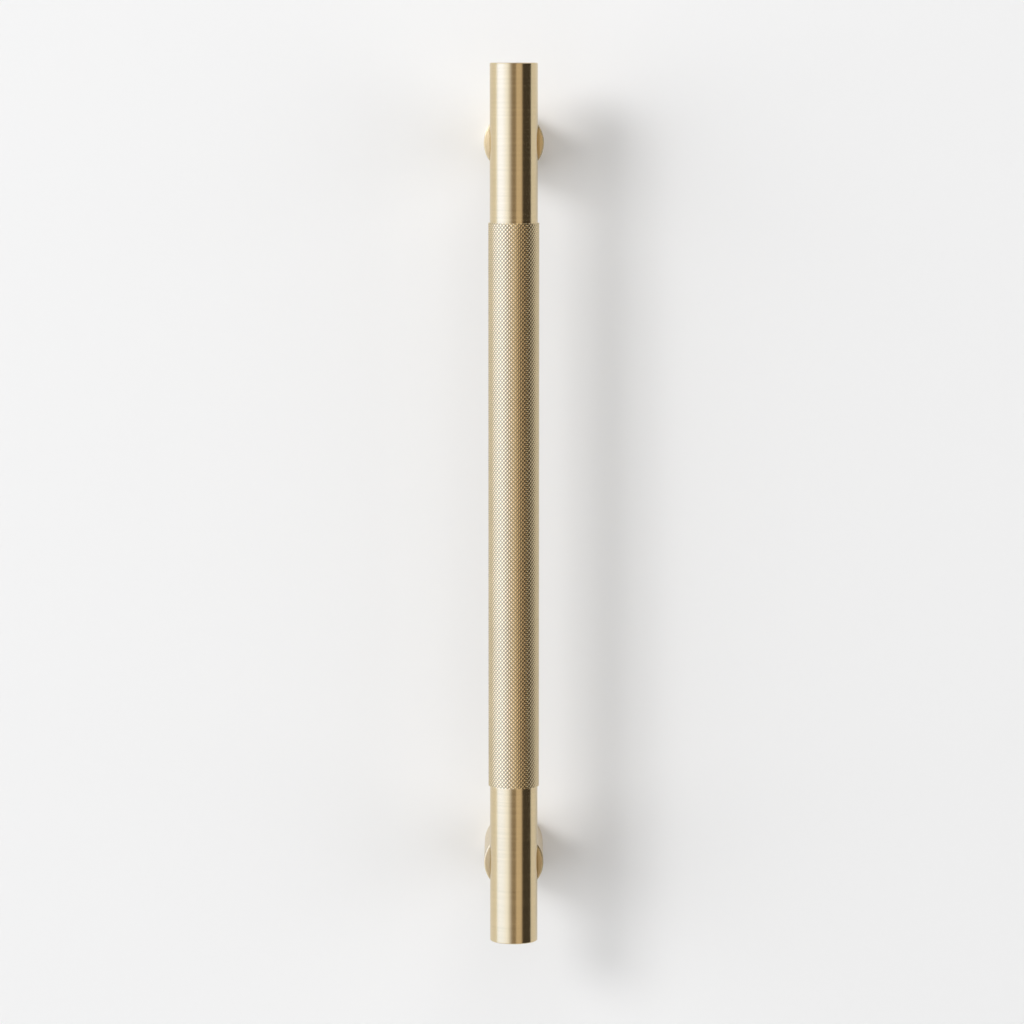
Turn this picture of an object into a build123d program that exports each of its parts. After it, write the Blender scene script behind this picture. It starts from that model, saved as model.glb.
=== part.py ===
"""Straight bar pull: a knurled round bar carried by two saddle-topped posts.

Millimetres, +Z away from the door. The door's face is z = 0, the bar runs along Y and its upper end is +Y.
The origin lies on the door's face, midway between the posts.
"""

import os
from itertools import product
from math import cos, pi, radians, sin, tan

from build123d import *

# Bar
bar_diameter = 12.7
bar_axis_height = 31.75
post_spacing = 192.0
plain_end_length = 42.0
bar_end_chamfer = 0.2

# Knurled band: pointed diamonds between two sets of crossing grooves
knurl_height = 0.4
knurl_depth = 0.35
diamond_width = 2.65

# Posts
post_diameter = 15.875
shoulder_drop = 0.35
post_edge_chamfer = 0.3
saddle_clearance = 0.05

# Mounting thread in the foot of each post, at its tapping diameter
mount_thread_diameter = 5.0
mount_thread_depth = 12.0
mount_mouth_chamfer = 0.5

# Headless screw that joins each post to the bar
screw_diameter = 4.0
screw_grip_in_bar = 6.5
screw_setback = 1.6
screw_end_chamfer = 0.5
screw_tip_room = 0.5
thread_clearance = 0.05
hex_key_across_flats = 2.0
hex_key_depth = 2.4

# Cone left by the point of a twist drill
drill_point_angle = 118.0

# Sizes that follow from the ones above
bar_radius = bar_diameter / 2
bar_underside = bar_axis_height - bar_radius
bar_half_length = (post_spacing + plain_end_length) / 2
knurl_half_length = (post_spacing - plain_end_length) / 2
crest_radius = bar_radius + knurl_height
groove_radius = crest_radius - knurl_depth
diamonds_around = round(2 * pi * crest_radius / diamond_width)
half_rows = 2 * round(2 * knurl_half_length / diamond_width)
half_row_length = 2 * knurl_half_length / half_rows
post_radius = post_diameter / 2
post_places = {"upper": post_spacing / 2, "lower": -post_spacing / 2}
shoulder_height = bar_axis_height - shoulder_drop
mount_thread_radius = mount_thread_diameter / 2
screw_radius = screw_diameter / 2
screw_hole_radius = screw_radius + thread_clearance
drill_point_slope = 1 / tan(radians(drill_point_angle / 2))
step_top = mount_thread_depth + (mount_thread_radius - screw_hole_radius) * drill_point_slope
screw_bottom = step_top + screw_setback
screw_top = bar_underside + screw_grip_in_bar


def turned(points, axis):
    """Solid of revolution of a closed outline, given as (radius, place along the axis) for Y or Z."""
    plane = Plane.XY if axis == Axis.Y else Plane.XZ
    outline = plane * Polyline(*points, close=True)
    return revolve(make_face(outline), axis)


def screw_hole():
    """Drill that leaves the blind tapped hole in the bar's underside, cone included."""
    hole_end = screw_top + screw_tip_room
    return turned(
        [
            (0, bar_underside - saddle_clearance),
            (screw_hole_radius, bar_underside - saddle_clearance),
            (screw_hole_radius, hole_end),
            (0, hole_end + screw_hole_radius * drill_point_slope),
        ],
        Axis.Z,
    )


def knurl_spot(radius, turn, row):
    """Point on the knurl's net, counted in half diamonds round the bar and along it."""
    angle = pi * turn / diamonds_around
    return radius * cos(angle), row * half_row_length - knurl_half_length, radius * sin(angle)


def knurl_flanks():
    """Triangular flanks of all the diamonds: each rises from the grooves to its diamond's point."""
    flanks = []
    for row in range(half_rows + 1):
        for turn in range(row % 2, 2 * diamonds_around, 2):
            point = knurl_spot(crest_radius, turn, row)
            for side, end in product((turn - 1, turn + 1), (row - 1, row + 1)):
                if 0 <= end <= half_rows:
                    beside = knurl_spot(groove_radius, side, row)
                    beyond = knurl_spot(groove_radius, turn, end)
                    flanks.append(Face(Wire.make_polygon([point, beside, beyond])))
    return flanks


def knurl_end(row):
    """Flat end of the knurled band, cut square across a row of diamonds."""
    rim = []
    for turn in range(2 * diamonds_around):
        radius = groove_radius if (turn + row) % 2 else crest_radius
        rim.append(knurl_spot(radius, turn, row))
    return Face(Wire.make_polygon(rim))


def plain_end():
    """Upper plain end of the bar, chamfered, with the blind hole for its screw behind."""
    end = turned(
        [
            (0, knurl_half_length),
            (bar_radius, knurl_half_length),
            (bar_radius, bar_half_length - bar_end_chamfer),
            (bar_radius - bar_end_chamfer, bar_half_length),
            (0, bar_half_length),
        ],
        Axis.Y,
    )
    return Pos(0, 0, bar_axis_height) * end - Pos(0, post_places["upper"], 0) * screw_hole()


def grip_bar():
    """Bar in one piece: the knurled band between its two plain ends."""
    band = Solid(Shell(knurl_flanks() + [knurl_end(0), knurl_end(half_rows)]))
    upper_end = plain_end()
    return Pos(0, 0, bar_axis_height) * band + upper_end + mirror(upper_end, Plane.XZ)


def post():
    """Turned post with a stepped hole along its axis and a half-round saddle across its top."""
    body = turned(
        [
            (mount_thread_radius + mount_mouth_chamfer, 0),
            (post_radius, 0),
            (post_radius, shoulder_height - post_edge_chamfer),
            (post_radius - post_edge_chamfer, shoulder_height),
            (screw_hole_radius, shoulder_height),
            (screw_hole_radius, step_top),
            (mount_thread_radius, mount_thread_depth),
            (mount_thread_radius, mount_mouth_chamfer),
        ],
        Axis.Z,
    )
    saddle = Cylinder(bar_radius + saddle_clearance, 2 * post_diameter, rotation=(90, 0, 0))
    return body - Pos(0, 0, bar_axis_height) * saddle


def joining_screw():
    """Headless screw from the post into the bar, with a hexagon socket in its lower end."""
    shank = turned(
        [
            (0, screw_bottom),
            (screw_radius - screw_end_chamfer, screw_bottom),
            (screw_radius, screw_bottom + screw_end_chamfer),
            (screw_radius, screw_top - screw_end_chamfer),
            (screw_radius - screw_end_chamfer, screw_top),
            (0, screw_top),
        ],
        Axis.Z,
    )
    socket = RegularPolygon(hex_key_across_flats / 2, 6, major_radius=False)
    return shank - Pos(0, 0, screw_bottom) * extrude(socket, hex_key_depth)


os.makedirs("parts", exist_ok=True)
export_step(grip_bar(), "parts/grip_bar.step")
for end, place in post_places.items():
    export_step(Pos(0, place, 0) * post(), f"parts/{end}_post.step")
    export_step(Pos(0, place, 0) * joining_screw(), f"parts/{end}_joining_screw.step")
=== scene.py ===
"""Satin brass bar pull on a pale floor: full-count diamond knurl, turned finishes, lights and camera."""

from math import cos, pi, radians, sin, tan

import bpy
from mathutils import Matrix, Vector


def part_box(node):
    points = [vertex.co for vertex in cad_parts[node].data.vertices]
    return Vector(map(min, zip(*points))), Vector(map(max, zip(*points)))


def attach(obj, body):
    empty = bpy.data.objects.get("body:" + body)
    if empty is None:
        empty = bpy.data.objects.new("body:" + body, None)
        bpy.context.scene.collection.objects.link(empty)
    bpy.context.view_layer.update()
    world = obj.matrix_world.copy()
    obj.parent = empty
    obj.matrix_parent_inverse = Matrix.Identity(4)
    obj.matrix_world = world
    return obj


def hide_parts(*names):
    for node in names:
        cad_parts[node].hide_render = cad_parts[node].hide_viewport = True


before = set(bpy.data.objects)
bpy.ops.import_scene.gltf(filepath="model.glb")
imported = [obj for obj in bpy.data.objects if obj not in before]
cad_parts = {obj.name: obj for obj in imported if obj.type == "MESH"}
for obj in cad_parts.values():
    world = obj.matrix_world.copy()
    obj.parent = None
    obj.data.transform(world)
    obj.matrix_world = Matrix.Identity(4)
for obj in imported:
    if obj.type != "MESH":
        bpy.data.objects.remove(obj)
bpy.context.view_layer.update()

MM = 0.001
ENDS = ("upper", "lower")

# Bar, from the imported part
bar_low, bar_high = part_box("grip_bar")
bar_axis = (bar_low.z + bar_high.z) / 2
crest_radius = (bar_high.z - bar_low.z) / 2
bar_half_length = bar_high.y
knurl_height = 0.4 * MM
bar_radius = crest_radius - knurl_height
bar_end_chamfer = 0.2 * MM

# Knurl at its real count: diamonds round the bar and half rows of them along it
diamonds_around = 40
half_rows = 276
knurl_half_length = 75.0 * MM
steps_around = 2 * diamonds_around
row_step = 2 * knurl_half_length / half_rows

# Diamonds: a low dome on each tip, then flanks down to the grooves
dome_share = 0.2
dome_slope = radians(6)
groove_slope = radians(26)
flank_run = row_step / 2 ** 0.5
dome_drop = dome_share * flank_run * tan(dome_slope)
groove_drop = dome_drop + (1 - dome_share) * flank_run * tan(groove_slope)
shoulder_radius = crest_radius - dome_drop
groove_radius = crest_radius - groove_drop

# Edges that bend more than this stay crisp on the smooth bar
crisp_angle = radians(42)

# The band's flat ends have the plain bar's finish, so the knurl's own stops just short of them
knurl_finish_reach = knurl_half_length - 0.01 * MM

# Blind holes for the joining screws, in the bar's underside
screw_hole_radius = 2.05 * MM
screw_tip_room = 0.5 * MM
drill_point_angle = 118
drill_point_slope = 1 / tan(radians(drill_point_angle / 2))
hole_segments = 28

# Colours seen straight on
brass_colour = (0.69, 0.56, 0.34)
steel_colour = (0.48, 0.47, 0.45)
floor_colour = (0.88, 0.88, 0.88)
sky_colour = (0.85, 0.85, 0.85)

# Brass finishes: roughness on rounds and on end faces, turning lines in a metre, stretch of the gloss
bar_finish = {"roughness": 0.2, "face_roughness": 0.3, "line_count": 1600.0, "anisotropy": 0.6}
knurl_finish = {"roughness": 0.2, "face_roughness": 0.2, "line_count": 2600.0, "anisotropy": 0.0}
post_finish = {"roughness": 0.24, "face_roughness": 0.62, "line_count": 4200.0, "anisotropy": 0.6}
gloss_turn = 0.25

# Turning lines: noise drawn out round the piece, and how far it varies roughness, tone and height
line_waves = 30.0
line_detail = 4.0
line_range = (0.3, 0.7)
line_roughness = (0.7, 1.25)
line_tones = (0.955, 1.045)
line_bump = 0.04
line_height = 0.01 * MM

# Share of the normal along a piece's axis from which a face turns into an end face
end_face_range = (0.85, 0.98)

# Faint patches in the brass, and the knurl's tones from painted shade in its grooves to its lighter
# crests
patch_scale = 60.0
patch_tones = (0.96, 1.03)
knurl_painted_shade_tones = (0.58, 1.38)

# Mottling of the screws' zinc plate
mottle_scale = 900.0
plate_roughness = (0.25, 0.45)

# Floor
floor_half_size = 4.0
floor_roughness = 0.7
floor_specular = 0.2

# Dim room that the metal reflects, and its lights: colour, then each angle's degrees of rise and of fall
room_glow = (0.07, 0.06, 0.05)
glows = {
    "key": ((1.00, 1.16, 1.50), {"across": ((-98, -88), (-36, -3)), "along": ((-70, -30), (60, 88))}),
    "spill": ((0.50, 0.62, 1.25), {"across": ((-95, -75), (-62, -26)), "along": ((-32, 10), (60, 88))}),
    "top": ((0.25, 0.20, 0.15), {"across": ((-60, -20), (40, 46))}),
    "beyond": ((0.72, 0.67, 0.58), {"across": ((-36, -3), (10, 28)), "either_way": ((22, 32), (60, 75))}),
    "card": ((0.42, 0.37, 0.30), {"across": ((8, 15), (35, 44))}),
}

# Lamps for the floor and its shadow: direction, distance, size and power
floor_lamps = {
    "key": ((-0.59, 0.35, 0.72), 3.6, 1.05, 41.4),
    "overhead": ((0, 0, 1), 5.0, 8.0, 172.0),
    "left": ((-1, 0.1, 0.5), 5.4, 4.5, 153.0),
    "right": ((1, 0, 0.5), 5.4, 4.5, 99.0),
    "far": ((0, 1, 0.6), 5.4, 4.5, 54.0),
}

# Lamps for the posts, cool at the upper left and warm at the right: colour, then as above
post_lamps = {
    "posts_left": ((0.86, 0.90, 1.0), (-0.55, 0.62, 0.56), 0.5, 0.4, 3.0),
    "posts_right": ((1.0, 0.75, 0.30), (0.70, 0.20, 0.68), 0.7, 0.5, 0.85),
}

# Camera, placed from the photograph's perspective
camera_place = (-0.465 * MM, 118.446 * MM, bar_axis + 1149.66 * MM)
camera_tilt = radians(5.9644)
camera_reach = 20.0
sensor_width = 36.0
image_width = 1024
focal_pixels = 4354.0


def new_mesh(name, points, faces):
    """Mesh object in the scene, from its points and faces."""
    mesh = bpy.data.meshes.new(name)
    mesh.from_pydata(points, [], faces)
    mesh.validate()
    piece = bpy.data.objects.new(name, mesh)
    bpy.context.scene.collection.objects.link(piece)
    return piece


def knurled_bar():
    """Bar in one closed mesh: rings for its ends and plain lengths, blunt pyramids for its diamonds."""
    points = []
    faces = []

    def add(radius, step, y):
        angle = pi * step / diamonds_around
        points.append((radius * cos(angle), y, bar_axis + radius * sin(angle)))
        return len(points) - 1

    def row_place(row):
        return (2 * row / half_rows - 1) * knurl_half_length

    # Net of groove crossings; the missing half of the net is where the diamonds stand
    net = {}
    for row in range(half_rows + 1):
        for step in range((row + 1) % 2, steps_around, 2):
            net[row, step] = add(groove_radius, step, row_place(row))

    # Diamonds; the two end rows are cut square through their tips, and their cut edges kept as rims
    rims = {0: {}, half_rows: {}}
    for row in range(half_rows + 1):
        y = row_place(row)
        for step in range(row % 2, steps_around, 2):
            before = (step - 1) % steps_around
            after = (step + 1) % steps_around
            tip = add(crest_radius, step, y)
            left = (net[row, before], add(shoulder_radius, step - dome_share, y))
            right = (net[row, after], add(shoulder_radius, step + dome_share, y))
            for way in (1, -1):
                if (row + way, step) in net:
                    groove = net[row + way, step]
                    shoulder = add(shoulder_radius, step, y + way * dome_share * row_step)
                    (first, first_shoulder), (second, second_shoulder) = (left, right)[::way]
                    faces.append((first_shoulder, shoulder, tip))
                    faces.append((shoulder, second_shoulder, tip))
                    faces.append((first, groove, shoulder, first_shoulder))
                    faces.append((groove, second, second_shoulder, shoulder))
            if row in rims:
                rims[row][before] = (*left, tip)
                rims[row][step] = (tip, *right[::-1])

    # Ends of the bar; the order of points turns with the side, so that every face looks outward
    for row, side in ((0, -1), (half_rows, 1)):
        rings = [
            [add(radius, step, side * y) for step in range(steps_around)]
            for radius, y in (
                (bar_radius, knurl_half_length),
                (bar_radius, bar_half_length - bar_end_chamfer),
                (bar_radius - bar_end_chamfer, bar_half_length),
            )
        ]
        for step, cut_edge in rims[row].items():
            band_end = (*cut_edge, rings[0][(step + 1) % steps_around], rings[0][step])
            faces.append(band_end[::-side])
        for inner, outer in zip(rings, rings[1:]):
            first, second = (inner, outer)[::side]
            for step in range(steps_around):
                after = (step + 1) % steps_around
                faces.append((first[step], second[step], second[after], first[after]))
        faces.append(tuple(rings[-1][::-side]))

    return new_mesh("grip_bar_knurled", points, faces)


def drill(end):
    """Cutter for the blind hole above one post, cone of the drill's point included."""
    post_low, post_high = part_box(f"{end}_post")
    _, screw_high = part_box(f"{end}_joining_screw")
    y = (post_low.y + post_high.y) / 2
    hole_end = screw_high.z + screw_tip_room
    points = [(0, y, hole_end + screw_hole_radius * drill_point_slope)]
    for z in (bar_axis - crest_radius, hole_end):
        for step in range(hole_segments):
            angle = 2 * pi * (step + 0.5) / hole_segments
            points.append((screw_hole_radius * cos(angle), y + screw_hole_radius * sin(angle), z))
    below = range(1, hole_segments + 1)
    above = range(hole_segments + 1, 2 * hole_segments + 1)
    faces = [tuple(reversed(below))]
    for step in range(hole_segments):
        after = (step + 1) % hole_segments
        faces.append((below[step], below[after], above[after], above[step]))
        faces.append((above[step], above[after], 0))
    return new_mesh(f"{end}_drill", points, faces)


def drilled(bar):
    """Cut the holes for the joining screws, then shade the bar smooth with crisp grooves and edges."""
    cutters = [drill(end) for end in ENDS]
    for cutter in cutters:
        cut = bar.modifiers.new(cutter.name, "BOOLEAN")
        cut.operation = "DIFFERENCE"
        cut.solver = "EXACT"
        cut.object = cutter
    bpy.context.view_layer.update()
    whole = bar.data
    cut_bar = bar.evaluated_get(bpy.context.evaluated_depsgraph_get())
    bar.data = bpy.data.meshes.new_from_object(cut_bar)
    bar.data.name = whole.name
    bar.modifiers.clear()
    bpy.data.meshes.remove(whole)
    for cutter in cutters:
        bpy.data.meshes.remove(cutter.data)
    for polygon in bar.data.polygons:
        polygon.use_smooth = True
    bar.data.set_sharp_from_angle(angle=crisp_angle)


def opaque(colour, factor=1.0):
    """Colour times a factor, with the fourth channel that a shader's socket takes."""
    return (*(channel * factor for channel in colour), 1.0)


def shader(material):
    """The material's node tree and its main shader."""
    material.use_nodes = True
    tree = material.node_tree
    return tree, tree.nodes["Principled BSDF"]


def feed(tree, target, inputs):
    """Give each named input of a node a constant, or a link from another node's output."""
    for name, value in inputs.items():
        socket = target.inputs[name]
        if isinstance(value, bpy.types.NodeSocket):
            tree.links.new(value, socket)
        else:
            socket.default_value = value


def node(tree, kind, inputs=None, **settings):
    """New shader node with these inputs and settings."""
    made = tree.nodes.new(f"ShaderNode{kind}")
    for name, value in settings.items():
        setattr(made, name, value)
    feed(tree, made, inputs or {})
    return made


def calculated(tree, operation, *values):
    """Result of an operation on one value or two."""
    return node(tree, "Math", dict(enumerate(values)), operation=operation).outputs["Value"]


def combined(tree, operation, *vectors):
    """Node for an operation on one vector or two."""
    return node(tree, "VectorMath", dict(enumerate(vectors)), operation=operation)


def scaled(tree, vector, factor):
    """Vector or colour times a value."""
    inputs = {0: vector, "Scale": factor}
    return node(tree, "VectorMath", inputs, operation="SCALE").outputs["Vector"]


def remap(tree, value, source, target, curve="LINEAR"):
    """Value carried from one range to another and held at both ends."""
    limits = zip(("From Min", "From Max", "To Min", "To Max"), (*source, *target))
    inputs = {"Value": value, **dict(limits)}
    return node(tree, "MapRange", inputs, interpolation_type=curve).outputs["Result"]


def brass(name, axis, roughness, face_roughness, line_count, anisotropy):
    """Satin brass turned about an axis: rings of fine noise vary its roughness, tone and height."""
    material = bpy.data.materials.new(name)
    tree, surface = shader(material)
    place = node(tree, "TexCoord").outputs["Object"]
    stretch = [line_count if letter == axis else line_waves for letter in "XYZ"]
    rings = node(tree, "Mapping", {"Vector": place, "Scale": stretch}).outputs["Vector"]
    noise = node(tree, "TexNoise", {"Vector": rings, "Scale": 1.0, "Detail": line_detail})
    lines = noise.outputs["Fac"]

    # Turned end faces are rougher than the brushed rounds
    normal = node(tree, "NewGeometry").outputs["Normal"]
    along_axis = node(tree, "SeparateXYZ", {"Vector": normal}).outputs[axis]
    facing = calculated(tree, "ABSOLUTE", along_axis)
    base_roughness = remap(tree, facing, end_face_range, (roughness, face_roughness))
    line_share = remap(tree, lines, line_range, line_roughness)

    # Faint patches, with a streak along each line
    patches = node(tree, "TexNoise", {"Vector": place, "Scale": patch_scale}).outputs["Fac"]
    darker, lighter = (opaque(brass_colour, tone) for tone in patch_tones)
    tone = node(tree, "Mix", data_type="RGBA")
    feed(tree, tone, {"Factor": patches, "A": darker, "B": lighter})
    streaks = remap(tree, lines, line_range, line_tones)

    relief = node(tree, "Bump", {"Strength": line_bump, "Distance": line_height, "Height": lines})
    around = node(tree, "Tangent", direction_type="RADIAL", axis=axis)
    feed(tree, surface, {
        "Metallic": 1.0,
        "Anisotropic": anisotropy,
        "Anisotropic Rotation": gloss_turn,
        "Roughness": calculated(tree, "MULTIPLY", base_roughness, line_share),
        "Base Color": scaled(tree, tone.outputs["Result"], streaks),
        "Normal": relief.outputs["Normal"],
        "Tangent": around.outputs["Tangent"],
    })
    return material


def knurl_brass():
    """Brass of the knurl, with painted shade: darker towards the grooves, lighter towards the crests."""
    material = brass("knurl_brass", "Y", **knurl_finish)
    tree, surface = shader(material)
    place = node(tree, "TexCoord").outputs["Object"]
    from_axis = combined(tree, "SUBTRACT", place, (0, 0, bar_axis)).outputs["Vector"]
    across = combined(tree, "MULTIPLY", from_axis, (1, 0, 1)).outputs["Vector"]
    radius = combined(tree, "LENGTH", across).outputs["Value"]
    # Painted shade: the base colour darkens towards the grooves and lightens towards the crests, by
    # distance from the axis
    painted_groove_shade = remap(tree, radius, (groove_radius, shoulder_radius), knurl_painted_shade_tones)
    tone = surface.inputs["Base Color"].links[0].from_socket
    feed(tree, surface, {"Base Color": scaled(tree, tone, painted_groove_shade)})
    return material


def plated_steel():
    """Zinc-plated steel of the hidden screws, with faint mottling."""
    material = bpy.data.materials.new("plated_steel")
    tree, surface = shader(material)
    mottle = node(tree, "TexNoise", {"Scale": mottle_scale}).outputs["Fac"]
    feed(tree, surface, {
        "Metallic": 1.0,
        "Base Color": opaque(steel_colour),
        "Roughness": remap(tree, mottle, (0.0, 1.0), plate_roughness),
    })
    return material


def dress(piece, *materials):
    """Give a piece these materials alone."""
    piece.data.materials.clear()
    for material in materials:
        piece.data.materials.append(material)


def floor():
    """Plain pale surface that the posts stand on."""
    half = floor_half_size
    corners = [(-half, -half, 0), (half, -half, 0), (half, half, 0), (-half, half, 0)]
    piece = new_mesh("floor", corners, [(0, 1, 2, 3)])
    material = bpy.data.materials.new("pale_floor")
    tree, surface = shader(material)
    feed(tree, surface, {
        "Base Color": opaque(floor_colour),
        "Roughness": floor_roughness,
        "Specular IOR Level": floor_specular,
    })
    dress(piece, material)


def window(tree, angle, rise, fall):
    """Smooth pulse over an angle: up across the first pair of degrees, down across the second."""
    edges = [
        remap(tree, angle, map(radians, degrees), levels, "SMOOTHSTEP")
        for degrees, levels in ((rise, (0.0, 1.0)), (fall, (1.0, 0.0)))
    ]
    return calculated(tree, "MULTIPLY", *edges)


def studio():
    """Room with its lights for the metal to reflect, and a plain sky where the camera looks past it."""
    world = bpy.data.worlds.new("studio")
    bpy.context.scene.world = world
    world.cycles_visibility.diffuse = False
    world.use_nodes = True
    tree = world.node_tree
    room = tree.nodes["Background"]

    # Angles of a direction: across the bar from straight up, along it, and along it either way
    place = node(tree, "TexCoord").outputs["Generated"]
    parts = node(tree, "SeparateXYZ", {"Vector": place}).outputs
    along = calculated(tree, "ARCSINE", parts["Y"])
    angles = {
        "across": calculated(tree, "ARCTAN2", parts["X"], parts["Z"]),
        "along": along,
        "either_way": calculated(tree, "ABSOLUTE", along),
    }

    light = room_glow
    for glow, windows in glows.values():
        for name, degrees in windows.items():
            glow = scaled(tree, glow, window(tree, angles[name], *degrees))
        light = combined(tree, "ADD", light, glow).outputs["Vector"]
    feed(tree, room, {"Color": light})

    sky = node(tree, "Background", {"Color": opaque(sky_colour)})
    seen = node(tree, "MixShader", {
        "Fac": node(tree, "LightPath").outputs["Is Camera Ray"],
        1: room.outputs["Background"],
        2: sky.outputs["Background"],
    })
    feed(tree, tree.nodes["World Output"], {"Surface": seen.outputs["Shader"]})


def lamp(name, towards, distance, size, energy):
    """Square soft lamp aimed at the origin and not reflected, since the studio holds the reflections."""
    data = bpy.data.lights.new(name, "AREA")
    data.shape = "SQUARE"
    data.size = size
    data.energy = energy
    piece = bpy.data.objects.new(name, data)
    bpy.context.scene.collection.objects.link(piece)
    direction = Vector(towards).normalized()
    piece.location = direction * distance
    piece.rotation_euler = direction.to_track_quat("Z", "Y").to_euler()
    piece.visible_camera = False
    piece.visible_glossy = False
    return piece


def lamps():
    """Lamps for the floor, then reflected ones that only the posts receive, for their shoulders."""
    for name, setting in floor_lamps.items():
        lamp(name, *setting)
    posts = bpy.data.collections.new("posts")
    for end in ENDS:
        posts.objects.link(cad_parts[f"{end}_post"])
    for name, (colour, *setting) in post_lamps.items():
        piece = lamp(name, *setting)
        piece.data.color = colour
        piece.visible_glossy = True
        piece.data.cycles.max_bounces = 0
        piece.light_linking.receiver_collection = posts


def camera():
    """Camera above the bar's upper end, tipped towards its middle."""
    data = bpy.data.cameras.new("camera")
    data.sensor_width = sensor_width
    data.lens = focal_pixels / image_width * sensor_width
    data.clip_end = camera_reach
    piece = bpy.data.objects.new("camera", data)
    piece.location = camera_place
    piece.rotation_euler = (-camera_tilt, 0, 0)
    bpy.context.scene.collection.objects.link(piece)
    bpy.context.scene.camera = piece


bar = knurled_bar()
drilled(bar)
dress(bar, brass("bar_brass", "Y", **bar_finish), knurl_brass())
for polygon in bar.data.polygons:
    polygon.material_index = int(abs(polygon.center.y) < knurl_finish_reach)
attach(bar, "root")
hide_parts("grip_bar")

post_brass = brass("post_brass", "Z", **post_finish)
screw_steel = plated_steel()
for end in ENDS:
    dress(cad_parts[f"{end}_post"], post_brass)
    dress(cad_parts[f"{end}_joining_screw"], screw_steel)

floor()
studio()
lamps()
camera()

settings = bpy.context.scene.view_settings
settings.view_transform = "Standard"
settings.look = "None"
